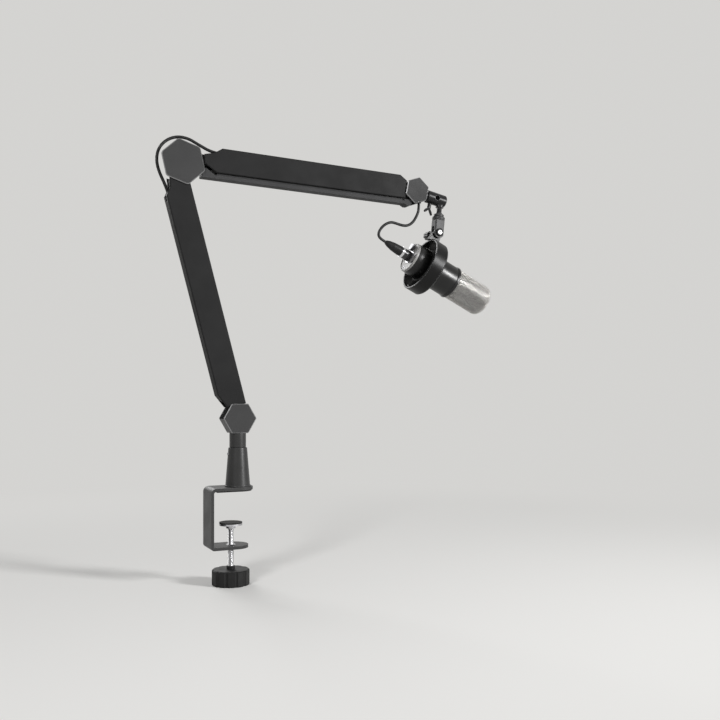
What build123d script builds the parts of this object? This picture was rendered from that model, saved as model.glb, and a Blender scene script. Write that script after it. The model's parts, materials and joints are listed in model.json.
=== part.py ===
from build123d import *

# End-address condenser microphone in a ring shock mount, on a spring boom arm with a desk clamp.
# Millimetres. +X runs from the desk's edge over the desk, +Y across the arm, +Z up. The origin is on
# the post's axis, in the face of the clamp that rests on the desk top. The arm's plane is Y = 0.

import math
import os

os.makedirs("parts", exist_ok=True)

# ---- driving dimensions -------------------------------------------------------------------------

ARM_LENGTH = 426.0           # between two hexagon joints, the same for both arms
BASE_PIVOT_HEIGHT = 119.9
LOWER_LEAN = 12.56           # the lower arm leans back from the vertical, degrees
UPPER_DIP = 0.89             # the upper arm points this far below the horizontal
HEAD_DIP = 11.5              # so does the barrel at its end
STUD_CANT = 5.5              # the stud stands this far off square to the barrel
MIC_DIP = 26.0               # and the microphone

CLAMP_WIDTH = 50.0
STEEL = 5.0                  # thickness of the clamp's bar
PAD = 2.0                    # rubber under the top jaw
SPINE_X = -52.0              # outer face of the clamp's spine
JAW_DROP = 89.0              # from the desk top to the lower jaw's upper face
SCREW_X = -12.0
DESK = 52.0                  # thickness of the desk in the clamp
SCREW_RADIUS = 5.0

HEX_HALF_DEPTH = 14.8
SLOT_HALF_DEPTH = 12.0       # inside the hexagon housings
COVER_HALF_DEPTH = 11.6
COVER_WALL = 1.6
BASE_HEX = 28.0              # circumradius
ELBOW_HEX = 37.5
FRONT_HEX = 24.5
LOWER_BAR_Y, UPPER_BAR_Y, BAR_THICK = 7.4, 4.4, 2.4   # the upper arm's bars run inside the lower's
EYE = 9.0                    # radius of the bars' ends
PIVOT_RADIUS = 4.0
RUNNING = 0.1                # clearance of a turning fit

BARREL_RADIUS = 11.5
BARREL_START, BARREL_END = 27.5, 65.5
STUD_X = 56.6                # from the front hexagon's centre, along the barrel
CLEVIS_PIVOT_DROP = 60.6     # from the barrel's axis to the microphone's tilt axis, along the stud

RING_CENTRE_X = 6.0          # along the microphone's axis from its tilt axis
MIC_DROP = 68.5              # from the tilt axis down to the microphone's axis
RING_RADIUS, RING_WIDTH, RING_WALL = 51.5, 26.0, 3.2
BODY_RADIUS = 29.5
GRILLE_RADIUS = 28.6
TAIL_X = RING_CENTRE_X - RING_WIDTH / 2 - 23.0
BAND_X = TAIL_X + 95.5       # where the black body ends
NOSE_X = BAND_X + 79.5
PLUG_RADIUS = 9.5
PLUG_LENGTH = 55.6
CABLE_RADIUS = 2.5

# ---- places that follow from them ---------------------------------------------------------------


def turned(origin, dip, x, z):
    """A point of a local frame whose X axis points dip degrees below the horizontal."""
    a = math.radians(dip)
    return origin[0] + x * math.cos(a) + z * math.sin(a), origin[1] - x * math.sin(a) + z * math.cos(a)


LOWER_DIP = -90.0 - LOWER_LEAN
BASE = (0.0, BASE_PIVOT_HEIGHT)
ELBOW = turned(BASE, LOWER_DIP, ARM_LENGTH, 0)
FRONT = turned(ELBOW, UPPER_DIP, ARM_LENGTH, 0)
STUD_FOOT_POINT = turned(FRONT, HEAD_DIP, STUD_X, 0)
MIC_PIVOT = turned(STUD_FOOT_POINT, HEAD_DIP - STUD_CANT, 0, -CLEVIS_PIVOT_DROP)


def place(shape, origin, dip):
    return Pos(origin[0], 0, origin[1]) * Rot(0, dip, 0) * shape


def on_lower(shape):
    return place(shape, BASE, LOWER_DIP)


def on_upper(shape):
    return place(shape, ELBOW, UPPER_DIP)


def on_head(shape):
    return place(shape, FRONT, HEAD_DIP)


def on_stud(shape):
    """The stud's axis is Z here, and Z is 0 on the barrel's axis."""
    return place(shape, STUD_FOOT_POINT, HEAD_DIP - STUD_CANT)


def on_mic(shape):
    return place(shape, MIC_PIVOT, MIC_DIP)


# ---- small helpers ------------------------------------------------------------------------------


def slab(outline, y_low, y_high):
    """A solid with an outline drawn in X and Z, between two places across the arm."""
    return Pos(0, y_high, 0) * extrude(Plane.XZ * outline, amount=y_high - y_low, dir=(0, -1, 0))


def rounded(points, radius):
    return fillet(Polygon(*points, align=None).vertices(), radius)


def hexagon(radius, corner, turn=0.0):
    """A regular hexagon with one corner at turn degrees and rounded corners."""
    points = [
        (radius * math.cos(math.radians(turn + 60 * i)), radius * math.sin(math.radians(turn + 60 * i)))
        for i in range(6)
    ]
    return rounded(points, corner)


def rod_y(radius, y_low, y_high, x=0.0, z=0.0):
    return Pos(x, (y_low + y_high) / 2, z) * Rot(90, 0, 0) * Cylinder(radius, y_high - y_low)


def rod_x(radius, x_low, x_high, y=0.0, z=0.0):
    return Pos((x_low + x_high) / 2, y, z) * Rot(0, 90, 0) * Cylinder(radius, x_high - x_low)


def rod_z(radius, z_low, z_high, x=0.0, y=0.0):
    return Pos(x, y, (z_low + z_high) / 2) * Cylinder(radius, z_high - z_low)


def block(x, y, z):
    """A box between pairs of limits."""
    return Pos(sum(x) / 2, sum(y) / 2, sum(z) / 2) * Box(x[1] - x[0], y[1] - y[0], z[1] - z[0])


def turned_part(profile):
    """A turned piece: (along, radius) points, spun about Z."""
    return revolve(Plane.XZ * Polygon(*[(r, h) for h, r in profile], align=None), Axis.Z)


def turned_along_x(profile):
    return Rot(0, 90, 0) * turned_part(profile)


def group(*shapes):
    """Separate solids in one node."""
    return Compound([s for shape in shapes for s in shape.solids()])


def tube(points, radius, name):
    """Straight runs joined by arcs that are as large as the runs allow."""
    path = [Vector(*p) for p in points]
    radii = []
    for before, here, after in zip(path, path[1:], path[2:]):
        turn = (here - before).get_angle(after - here)
        run = min((here - before).length, (after - here).length)
        radii.append(0.45 * run / math.tan(math.radians(turn) / 2))
    line = FilletPolyline(*path, radius=radii)
    solid = sweep(Plane(line @ 0, z_dir=line % 0) * Circle(radius), path=line)
    share = solid.volume / (math.pi * radius**2 * line.length)
    print(name, "length", round(line.length), "radii", [round(r) for r in radii], "share", round(share, 3))
    return solid


nodes = {}

# ---- desk clamp ---------------------------------------------------------------------------------

JAW_TOP = PAD + STEEL
JAW_END_RADIUS = CLAMP_WIDTH / 2
LOWER_JAW_CENTRE = -8.0
TOWER_BASE = JAW_TOP + 2.0
TOWER_TOP = 71.2
TOWER_FOOT_RADIUS, TOWER_TOP_RADIUS = 20.5, 15.5
BUSH_RADIUS, PIN_RADIUS = 9.0, 6.0
BUSH_FOOT = 22.0
COLLAR_FOOT = TOWER_TOP + 1.0
COLLAR_RADIUS = 13.75
SCREW_CIRCLE = 14.0
LOCK_SCREW_HEIGHT = 61.0
NUT_RADIUS = 8.0


def around_tower(shape):
    """Four copies about the post."""
    return [Rot(0, 0, 45 + 90 * i) * Pos(SCREW_CIRCLE, 0, 0) * shape for i in range(4)]


def countersunk_screw():
    head = turned_part([(PAD, 0), (PAD, 4.5), (PAD + 2.4, 2.1), (20, 2.1), (20, 0)])
    return head - Pos(0, 0, PAD) * extrude(RegularPolygon(1.6, 6), amount=1.6)


def clamp_bracket():
    """One steel bar bent twice, with both jaws rounded in plan."""
    outer = [
        (JAW_END_RADIUS, JAW_TOP), (SPINE_X, JAW_TOP), (SPINE_X, -JAW_DROP - STEEL), (20, -JAW_DROP - STEEL),
        (20, -JAW_DROP), (SPINE_X + STEEL, -JAW_DROP), (SPINE_X + STEEL, PAD), (JAW_END_RADIUS, PAD),
    ]
    bar = Polygon(*outer, align=None)
    bends = {(SPINE_X, JAW_TOP): 9.0, (SPINE_X + STEEL, PAD): 4.0, (SPINE_X, -JAW_DROP - STEEL): 5.5,
             (SPINE_X + STEEL, -JAW_DROP): 0.8}
    for (x, z), radius in bends.items():
        corner = [v for v in bar.vertices() if abs(v.X - x) < 0.01 and abs(v.Y - z) < 0.01]
        bar = fillet(corner, radius)
    solid = slab(bar, -CLAMP_WIDTH / 2, CLAMP_WIDTH / 2)
    plan_top = block((SPINE_X - 1, 0), (-JAW_END_RADIUS, JAW_END_RADIUS), (-40, 20))
    plan_top += rod_z(JAW_END_RADIUS, -40, 20)
    plan_low = block((SPINE_X - 1, LOWER_JAW_CENTRE), (-JAW_END_RADIUS, JAW_END_RADIUS), (-120, -40))
    plan_low += rod_z(JAW_END_RADIUS, -120, -40, x=LOWER_JAW_CENTRE)
    solid = solid & (plan_top + plan_low)
    solid -= rod_z(NUT_RADIUS, -JAW_DROP - STEEL - 1, -JAW_DROP + 1, x=SCREW_X)
    cutter = turned_part([
        (PAD - 0.01, 0), (PAD - 0.01, 4.6), (PAD + 2.4, 2.3), (JAW_TOP + 1, 2.3), (JAW_TOP + 1, 0),
    ])
    for hole in around_tower(cutter):
        solid -= hole
    return solid


def jaw_nut():
    """Threaded bush pressed into the lower jaw, with a collar below it."""
    body = rod_z(NUT_RADIUS, -JAW_DROP - STEEL, -JAW_DROP, x=SCREW_X)
    body += rod_z(NUT_RADIUS + 1.5, -JAW_DROP - STEEL - 2.0, -JAW_DROP - STEEL, x=SCREW_X)
    return body - rod_z(SCREW_RADIUS + 0.2, -JAW_DROP - STEEL - 3, -JAW_DROP + 1, x=SCREW_X)


def tower():
    """The cone that carries the post, bored for its bush."""
    body = turned_part([
        (TOWER_BASE, 0), (TOWER_BASE, TOWER_FOOT_RADIUS), (TOWER_TOP, TOWER_TOP_RADIUS),
        (TOWER_TOP, BUSH_RADIUS),
        (BUSH_FOOT, BUSH_RADIUS), (BUSH_FOOT, 0),
    ])
    for hole in around_tower(rod_z(2.2, TOWER_BASE - 1, 20.5)):
        body -= hole
    return body - rod_x(2.6, -20, 0, z=LOCK_SCREW_HEIGHT)


def tower_flange():
    ring = rod_z(21.6, JAW_TOP, TOWER_BASE)
    for hole in around_tower(rod_z(2.2, JAW_TOP - 1, TOWER_BASE + 1)):
        ring -= hole
    return ring


def post_bush():
    """Plastic sleeve with a thin collar that the post turns on."""
    return turned_part([
        (BUSH_FOOT, PIN_RADIUS), (BUSH_FOOT, BUSH_RADIUS), (TOWER_TOP, BUSH_RADIUS),
        (TOWER_TOP, COLLAR_RADIUS - 0.8),
        (COLLAR_FOOT, COLLAR_RADIUS - 0.8), (COLLAR_FOOT, PIN_RADIUS),
    ])


nodes["clamp_bracket"] = clamp_bracket()
nodes["jaw_pad"] = block((SPINE_X + STEEL + 6, 0), (-23, 23), (0, PAD)) + rod_z(23, 0, PAD)
nodes["jaw_nut"] = jaw_nut()
nodes["tower"] = tower() + tower_flange()
nodes["post_bush"] = post_bush()
nodes["tower_screws"] = group(*around_tower(countersunk_screw()))
nodes["post_lock_screw"] = rod_x(2.5, -17.4, -BUSH_RADIUS - 0.1, z=LOCK_SCREW_HEIGHT)
nodes["post_lock_screw"] -= rod_x(1.3, -18, -14, z=LOCK_SCREW_HEIGHT)

# ---- clamp screw and its pressure pad -----------------------------------------------------------

FACING = 2.0
PLATE_FOOT = -DESK - FACING - 3.0
KNOB_TOP = -130.0
KNOB_RADIUS, KNOB_TALL = 31.0, 25.0
KNOB_HUB_RADIUS = 7.0
ROD_TOP = PLATE_FOOT + 1.2


def pressure_disc():
    """Steel disc with a socket under it for the screw's tip."""
    disc = rod_z(19, PLATE_FOOT, -DESK - FACING, x=SCREW_X)
    socket = rod_z(8, PLATE_FOOT - 5, PLATE_FOOT, x=SCREW_X)
    disc = disc + socket - rod_z(SCREW_RADIUS + 0.1, PLATE_FOOT - 6, ROD_TOP, x=SCREW_X)
    return disc - rod_z(SCREW_RADIUS + 1.3, PLATE_FOOT - 3.2, PLATE_FOOT - 1.8, x=SCREW_X)


def clamp_knob():
    """Scalloped hand knob with a hub."""
    wheel = rod_z(KNOB_RADIUS, KNOB_TOP - KNOB_TALL, KNOB_TOP)
    for i in range(12):
        angle = math.radians(30 * i)
        scallop_x, scallop_y = 33.2 * math.cos(angle), 33.2 * math.sin(angle)
        wheel -= rod_z(4.0, KNOB_TOP - KNOB_TALL - 1, KNOB_TOP + 1, x=scallop_x, y=scallop_y)
    wheel = chamfer(wheel.faces().sort_by(Axis.Z)[-1].edges(), 1.5)
    wheel += rod_z(KNOB_HUB_RADIUS, KNOB_TOP, KNOB_TOP + 5.5)
    wheel -= rod_z(SCREW_RADIUS, KNOB_TOP - 15, KNOB_TOP + 6)
    wheel -= rod_z(22, KNOB_TOP - KNOB_TALL - 1, KNOB_TOP - KNOB_TALL + 6)
    return Pos(SCREW_X, 0, 0) * wheel


nodes["pressure_disc"] = pressure_disc()
nodes["pad_facing"] = rod_z(19, -DESK - FACING, -DESK, x=SCREW_X)
nodes["clamp_screw_rod"] = (
    rod_z(SCREW_RADIUS, KNOB_TOP - 15, ROD_TOP, x=SCREW_X)
    + rod_z(SCREW_RADIUS + 1.2, PLATE_FOOT - 3, PLATE_FOOT - 2, x=SCREW_X)
)
nodes["clamp_knob"] = clamp_knob()

# ---- post and base hexagon ----------------------------------------------------------------------

WALL = 2.6
HEX_CORNER = 2.4
RIM_GROOVE = 0.8             # the shadow line between a cap and what is behind it
BASE_FLAT = BASE_HEX * math.cos(math.radians(30))


def hex_cap(radius, turn, corner, side):
    """A hexagonal cheek with a shadow groove behind its rim and a bevelled outer face; side is -1 or 1."""
    step = SLOT_HALF_DEPTH + RIM_GROOVE
    plate = slab(hexagon(radius, corner, turn), *sorted((side * step, side * HEX_HALF_DEPTH)))
    outer_face = plate.faces().sort_by(Axis.Y)[-1 if side > 0 else 0]
    plate = chamfer(outer_face.edges(), 1.2)
    return plate + slab(hexagon(radius - 1.0, corner, turn), *sorted((side * SLOT_HALF_DEPTH, side * step)))


def base_hex_housing():
    """A hexagonal shell that is open upwards, where the arm swings."""
    shell = slab(hexagon(BASE_HEX, HEX_CORNER), -SLOT_HALF_DEPTH, SLOT_HALF_DEPTH)
    inner_radius = BASE_HEX - WALL / math.cos(math.radians(30))
    inner = slab(hexagon(inner_radius, 1.0), -SLOT_HALF_DEPTH - 1, SLOT_HALF_DEPTH + 1)
    upper = block((-40, 40), (-20, 20), (-0.8, 40))
    foot = block((-9, 9), (-SLOT_HALF_DEPTH, SLOT_HALF_DEPTH), (-BASE_FLAT + 1, -15.0))
    return Pos(0, 0, BASE_PIVOT_HEIGHT) * (shell - inner - upper + foot)


nodes["post_collar"] = turned_part([
    (BUSH_FOOT + 1, 0), (BUSH_FOOT + 1, PIN_RADIUS - 0.1), (COLLAR_FOOT, PIN_RADIUS - 0.1),
    (COLLAR_FOOT, COLLAR_RADIUS), (BASE_PIVOT_HEIGHT - BASE_FLAT, COLLAR_RADIUS),
    (BASE_PIVOT_HEIGHT - BASE_FLAT, 0),
])
nodes["base_hex_housing"] = base_hex_housing()


def hidden_bolt():
    """The pivot bolt stops flush under the caps' outer faces."""
    return rod_y(PIVOT_RADIUS, -HEX_HALF_DEPTH + 0.6, HEX_HALF_DEPTH - 0.6)


def blind_cap(radius, turn, corner, side, shift=(0.0, 0.0)):
    """A cheek with a blind bore, so that its outer face stays bare. It may sit off the pivot's centre."""
    plate = Pos(shift[0], 0, shift[1]) * hex_cap(radius, turn, corner, side)
    return plate - rod_y(PIVOT_RADIUS, *sorted((side * SLOT_HALF_DEPTH, side * (HEX_HALF_DEPTH - 0.6))))


def blind_caps(radius, turn):
    return [blind_cap(radius, turn, HEX_CORNER, side) for side in (-1, 1)]


BASE_PLACE = Pos(0, 0, BASE_PIVOT_HEIGHT)
nodes["base_caps"] = BASE_PLACE * group(*blind_caps(BASE_HEX, 0))

# ---- arms ---------------------------------------------------------------------------------------


def bar_pair(outline, y_inner, root_hole, tip_hole):
    """Two flat bars with an eye at each pivot; X runs from the root pivot to the tip pivot."""
    face = Polygon(*outline, align=None) + Circle(EYE) + Pos(ARM_LENGTH, 0) * Circle(EYE)
    face -= Circle(root_hole)
    face -= Pos(ARM_LENGTH, 0) * Circle(tip_hole)
    return [slab(face, y_inner, y_inner + BAR_THICK), slab(face, -y_inner - BAR_THICK, -y_inner)]


def rings_y(radius, bore, y_inner, y_outer, x=0.0, z=0.0):
    """The same ring on both sides of the arm's plane."""
    ring = rod_y(radius, y_inner, y_outer, x, z) - rod_y(bore, y_inner - 1, y_outer + 1, x, z)
    return [ring, mirror(ring, about=Plane.XZ)]


def cover(points, wall=COVER_WALL, corner=2.0):
    """A long shell, open at both ends where the arm's bars come out."""
    outline = Polygon(*points, align=None)
    outside = slab(outline, -COVER_HALF_DEPTH, COVER_HALF_DEPTH)
    long_edges = [e for e in outside.edges() if abs(e.tangent_at(0.5).Y) < 0.1 and e.length > 8]
    outside = fillet(long_edges, corner)
    inner = offset(outline, -wall)
    inside = slab(inner, -COVER_HALF_DEPTH + wall, COVER_HALF_DEPTH - wall)
    return outside, inside


# The covers' long edges aren't quite parallel to the lines between the pivots.
LOWER_MID, LOWER_SLOPE, LOWER_COVER_WIDTH = 4.3, 0.0372, 43.3
UPPER_MID, UPPER_SLOPE, UPPER_COVER_WIDTH = 8.9, -0.0106, 41.1


def lower_edge(x, side):
    return x, LOWER_MID + LOWER_SLOPE * x + side * LOWER_COVER_WIDTH / 2


def upper_edge(x, side):
    return x, UPPER_MID + UPPER_SLOPE * x + side * UPPER_COVER_WIDTH / 2


LOWER_COVER = [
    (22.0, lower_edge(22, -1)[1]), lower_edge(390, -1), (396, 4), (406, 29), (388, 31.5), lower_edge(376, 1),
    lower_edge(45, 1), (22.0, 16.0),
]
UPPER_COVER = [
    (33.0, 1.5), (53.8, upper_edge(53.8, -1)[1]), upper_edge(404, -1), (404, 0.0), (406.5, 16.0),
    upper_edge(393, 1),
    upper_edge(63.5, 1), (50.0, 20.0), (33.0, 16.0),
]


def arm_cover(points, x_low, x_high, mouth):
    """The shell, open at both ends inside the hexagons and slotted where the cable goes in."""
    outside, inside = cover(points)
    clear = COVER_HALF_DEPTH - COVER_WALL
    ends = block((0, x_low), (-clear, clear), (-16, 30))
    ends += block((x_high, ARM_LENGTH), (-clear, clear), (-16, 30))
    return outside - inside - ends - block(mouth[0], (-CABLE_RADIUS - 0.8, CABLE_RADIUS + 0.8), mouth[1])


def anchor_hub(half_depth, x_ear, z_ear):
    """The fixed hub between an arm's bars, with the ear that its spring pulls on."""
    hub = rod_y(EYE - 1.8, -half_depth, half_depth)
    ear = slab(Polygon((-5, 0), (0, -5), (5, 0), (x_ear + 3, z_ear), (x_ear - 3, z_ear), align=None), -1.5, 1.5)
    ear += rod_y(3.4, -1.5, 1.5, x=x_ear, z=z_ear)
    return hub + ear - rod_y(PIVOT_RADIUS, -20, 20) - rod_y(1.5, -20, 20, x=x_ear, z=z_ear)


def spring(x_low, z_low, x_high, z_high, radius):
    """A close-wound tension spring, as a tube, with an eye on the pin at each end."""
    length = math.hypot(x_high - x_low, z_high - z_low)
    wire = 1.2
    solid = rod_x(radius, 16, length - 16) - rod_x(radius - 2 * wire, 10, length - 10)
    for eye_x, hook in ((0, (3.0, 18.0)), (length, (length - 18.0, length - 3.0))):
        solid += rod_x(wire, *hook)
        solid += rod_z(wire - 0.1, -radius + 0.8, radius - 0.8, x=hook[1] - wire if eye_x == 0 else hook[0] + wire)
        solid += rod_y(4.2, -wire, wire, x=eye_x) - rod_y(2.4, -3, 3, x=eye_x)
    tilt = -math.degrees(math.atan2(z_high - z_low, x_high - x_low))
    return Pos(x_low, 0, z_low) * Rot(0, tilt, 0) * solid


def spring_link(x_low, z_low, x_high, z_high):
    """The flat link between a spring and its hub's ear. It ends clear of the ear."""
    outline = [(x_low, z_low - 2), (x_high, z_high - 2), (x_high, z_high + 2), (x_low, z_low + 2)]
    return slab(Polygon(*outline, align=None), -1.2, 1.2)


# Base joint: the lower arm's bars turn between the cheeks, on a hub that is fixed to the bolt.
nodes["base_pivot"] = BASE_PLACE * group(
    hidden_bolt(),
    anchor_hub(LOWER_BAR_Y - 0.2, 0, 12.5),
    *rings_y(EYE, PIVOT_RADIUS, LOWER_BAR_Y + BAR_THICK, SLOT_HALF_DEPTH),
)

# Lower arm
LOWER_BAR_OUTLINE = [(0, -9), (60, -9), (384, 2.4), (ARM_LENGTH, -9), (ARM_LENGTH, 9), (384, 17.5), (60, 9), (0, 9)]
LOWER_PINS = [(62.0, 2.0), (345.0, 8.4)]
nodes["lower_bars"] = on_lower(group(
    *bar_pair(LOWER_BAR_OUTLINE, LOWER_BAR_Y, PIVOT_RADIUS + RUNNING, PIVOT_RADIUS),
    *[rod_y(2.4, -LOWER_BAR_Y, LOWER_BAR_Y, x, z) for x, z in LOWER_PINS],
))
nodes["lower_cover"] = on_lower(arm_cover(LOWER_COVER, 34, 384, ((368, 402), (27, 44))))
nodes["lower_spring"] = on_lower(spring(*LOWER_PINS[0], *LOWER_PINS[1], 5.0) + spring_link(20.0, 0.5, 59.0, 2.0))
AT_ELBOW = Pos(ARM_LENGTH, 0, 0)
ELBOW_CAP_SHIFT = (-0.8, 2.2)
nodes["elbow_caps"] = on_lower(AT_ELBOW * group(
    blind_cap(ELBOW_HEX, 0, 6.0, -1, ELBOW_CAP_SHIFT), blind_cap(ELBOW_HEX - 9.5, 0, 4.0, 1),
))
nodes["elbow_pivot"] = on_lower(AT_ELBOW * group(
    hidden_bolt(),
    anchor_hub(UPPER_BAR_Y - 0.2, 0, -12.5),
    *rings_y(EYE, PIVOT_RADIUS, LOWER_BAR_Y + BAR_THICK, SLOT_HALF_DEPTH),
    *rings_y(EYE - 0.5, PIVOT_RADIUS, UPPER_BAR_Y + BAR_THICK, LOWER_BAR_Y),
))

# Upper arm
UPPER_BAR_OUTLINE = [
    (0, -9), (28, 2), (90, -4), (380, -8), (ARM_LENGTH, -9), (ARM_LENGTH, 9), (380, 8), (90, 12),
    (28, 16), (0, 9),
]
UPPER_PINS = [(66.0, 7.0), (350.0, 0.5)]
RAIL_GAP, RAIL_TALL = 4.3, 5.0
nodes["upper_bars"] = on_upper(group(
    *bar_pair(UPPER_BAR_OUTLINE, UPPER_BAR_Y, PIVOT_RADIUS + RUNNING, PIVOT_RADIUS + RUNNING),
    rod_y(6.5, -UPPER_BAR_Y, UPPER_BAR_Y, x=ARM_LENGTH) - rod_y(PIVOT_RADIUS + RUNNING, -20, 20, x=ARM_LENGTH),
    *[rod_y(2.4, -UPPER_BAR_Y, UPPER_BAR_Y, x, z) for x, z in UPPER_PINS],
))
nodes["upper_cover"] = on_upper(arm_cover(UPPER_COVER, 48, 396, ((40, 64), (14, 30))))
nodes["upper_spring"] = on_upper(spring(*UPPER_PINS[0], *UPPER_PINS[1], 4.1) + spring_link(20.0, 4.0, 63.0, 7.0))


def upper_rail():
    """The rail under the upper cover: a web, a flange, a wedge at the elbow and a boss at the front."""
    low = [upper_edge(x, -1)[1] for x in (56, 402)]
    web = slab(Polygon((56, low[0]), (402, low[1]), (402, low[1] - 6), (56, low[0] - 6), align=None), -6, 6)
    foot = RAIL_GAP + RAIL_TALL
    flange = Polygon(
        (30, low[0] - foot + 0.6), (31, -6.5), (37, -6.5), (52, low[0] - RAIL_GAP), (402, low[1] - RAIL_GAP),
        (402, low[1] - foot), align=None,
    )
    lug = Polygon(
        (402, low[1] - foot), (402, low[1] - 1), (414, low[1] - 2), (418, low[1] - 5), (414, low[1] - 12.5),
        (408, low[1] - 12.5), align=None,
    )
    lug_edges = slab(lug, -9.5, 9.5).edges().filter_by(Axis.Y)
    return web + slab(flange, -9.5, 9.5) + fillet(lug_edges.sort_by(Axis.X)[-3:], 2.0)


nodes["upper_rail"] = on_upper(upper_rail())

# ---- head: front hexagon, barrel and stud -------------------------------------------------------

FRONT_FLAT = FRONT_HEX * math.cos(math.radians(30))
CORE_START = EYE + 1.4
STUD_FOOT = -34.0
STUD_RADIUS = 4.8
SIDE_BORE_X, SIDE_BORE_RADIUS = 44.8, 4.5
WING_X = 36.0
CABLE_EXIT = (14.0, -15.9)   # where the cable leaves the front hexagon, in the head's frame
LOWER_WALL_START = 8.0       # the hexagon's lower wall leaves room for the rail's lug


def front_hex_housing():
    """Walls on the three sides that face the barrel, with bosses for the arm's eyes."""
    shell = slab(hexagon(FRONT_HEX, HEX_CORNER, 30), -SLOT_HALF_DEPTH, SLOT_HALF_DEPTH)
    inner = slab(hexagon(FRONT_HEX - 2.2 / math.cos(math.radians(30)), 1.0, 30), -20, 20)
    shell = shell - inner - block((-40, 0.5), (-20, 20), (0, 40))
    shell -= block((-40, LOWER_WALL_START), (-20, 20), (-40, 0))
    core = block((CORE_START, FRONT_FLAT - 1), (-SLOT_HALF_DEPTH, SLOT_HALF_DEPTH), (-9, 9))
    bosses = rings_y(EYE, PIVOT_RADIUS, UPPER_BAR_Y + BAR_THICK, SLOT_HALF_DEPTH)
    webs = [block((0, CORE_START + 1), y, (-3, 3)) for y in ((8.6, SLOT_HALF_DEPTH), (-SLOT_HALF_DEPTH, -8.6))]
    solid = shell + core + bosses[0] + bosses[1] + webs[0] + webs[1] - rod_y(PIVOT_RADIUS, -20, 20)
    hole = Pos(CABLE_EXIT[0], 0, CABLE_EXIT[1]) * Rot(0, -HEAD_DIP, 0) * Cylinder(CABLE_RADIUS + 1.5, 14)
    return solid - hole


def cable_grommet():
    """Rubber sleeve in the front hexagon's lower wall."""
    sleeve = Cylinder(CABLE_RADIUS + 1.5, 4.4) - Cylinder(CABLE_RADIUS, 6)
    return Pos(CABLE_EXIT[0], 0, CABLE_EXIT[1]) * Rot(0, -HEAD_DIP, 0) * Pos(0, 0, 0.9) * sleeve


def head_barrel():
    """The clamp barrel, its neck, a side bore and the seat of the stud."""
    body = turned_along_x([
        (FRONT_FLAT, 0), (FRONT_FLAT, 8.5), (BARREL_START - 1, 8.5), (BARREL_START - 1, BARREL_RADIUS - 1),
        (BARREL_START, BARREL_RADIUS), (BARREL_END - 1.5, BARREL_RADIUS),
        (BARREL_END, BARREL_RADIUS - 1.5), (BARREL_END, 0),
    ])
    body -= rod_y(SIDE_BORE_RADIUS, -BARREL_RADIUS - 1, -4.0, x=SIDE_BORE_X)
    seat = Pos(STUD_X, 0, 0) * Rot(0, -STUD_CANT, 0)
    body += seat * rod_z(7.4, -BARREL_RADIUS - 1.6, -5)
    body -= seat * rod_z(STUD_RADIUS, -BARREL_RADIUS - 3, -3)
    return body - rod_z(2.5, -BARREL_RADIUS - 2, -4, x=WING_X)


def wing_screw():
    """The clamping screw under the barrel, with two bent wings."""
    hub = rod_z(3.6, -21.0, -12.4) + rod_z(2.4, -12.4, -5.0)
    wing = slab(rounded([(1.5, -19), (9, -24), (13, -29), (10.5, -31), (6, -27.5), (-1, -21)], 1.0), -1.3, 1.3)
    wings = wing + mirror(wing, about=Plane.YZ)
    return Pos(WING_X, 0, 0) * Rot(0, 0, 28) * (hub + wings)


nodes["front_hex_housing"] = on_head(front_hex_housing())
nodes["front_caps"] = on_head(group(*blind_caps(FRONT_HEX, 30)))
nodes["front_bolt"] = on_head(hidden_bolt())
nodes["cable_grommet"] = on_head(cable_grommet())
nodes["head_barrel"] = on_head(head_barrel())
nodes["stud"] = on_stud(rod_z(STUD_RADIUS, STUD_FOOT, -3))
nodes["wing_screw"] = on_head(wing_screw())

# ---- swivel adapter -----------------------------------------------------------------------------

CLEVIS_TOP = -37.0
CLEVIS_HALF_WIDTH = 9.4      # along the arm
CLEVIS_FLAT = 8.8            # half its depth, across the arm
CLEVIS_SLOT = 4.4            # half the width of the slot
TILT_BOLT_RADIUS = 3.0


def thread_insert():
    """The 5/8 inch threaded ring on top of the clevis: two collars with a shadow groove under each, and a neck."""
    steps = turned_part([
        (CLEVIS_TOP, 0), (CLEVIS_TOP, 10.4), (-35.8, 10.4), (-35.8, 11.2), (-35.2, 11.8), (-31.8, 11.8),
        (-31.0, 11.0),
        (-31.0, 8.4), (-30.2, 8.4), (-30.2, 8.8), (-29.6, 9.4), (-26.6, 9.4), (-25.8, 8.6),
        (-25.8, 6.4), (-23.4, 5.9),
        (-23.4, 0),
    ])
    return steps - rod_z(STUD_RADIUS + RUNNING, STUD_FOOT - 0.4, -20)


def clevis():
    """A square-shouldered block that ends in a fork for the ring's tongue."""
    height = (-CLEVIS_PIVOT_DROP - 12, CLEVIS_TOP)
    body = block((-CLEVIS_HALF_WIDTH, CLEVIS_HALF_WIDTH), (-CLEVIS_FLAT, CLEVIS_FLAT), height)
    body = fillet(body.edges().filter_by(Axis.Z), 2.2)
    round_end = slab(Circle(CLEVIS_HALF_WIDTH + 0.6), -20, 20) + block((-20, 20), (-20, 20), (1.5, 40))
    body = body & (Pos(0, 0, -CLEVIS_PIVOT_DROP) * round_end)
    body -= block((-20, 20), (-CLEVIS_SLOT, CLEVIS_SLOT), (-90, -CLEVIS_PIVOT_DROP + 11.5))
    return body - rod_y(TILT_BOLT_RADIUS, -20, 20, z=-CLEVIS_PIVOT_DROP)


def at_tilt(shape):
    return on_stud(Pos(0, 0, -CLEVIS_PIVOT_DROP) * shape)


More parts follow.
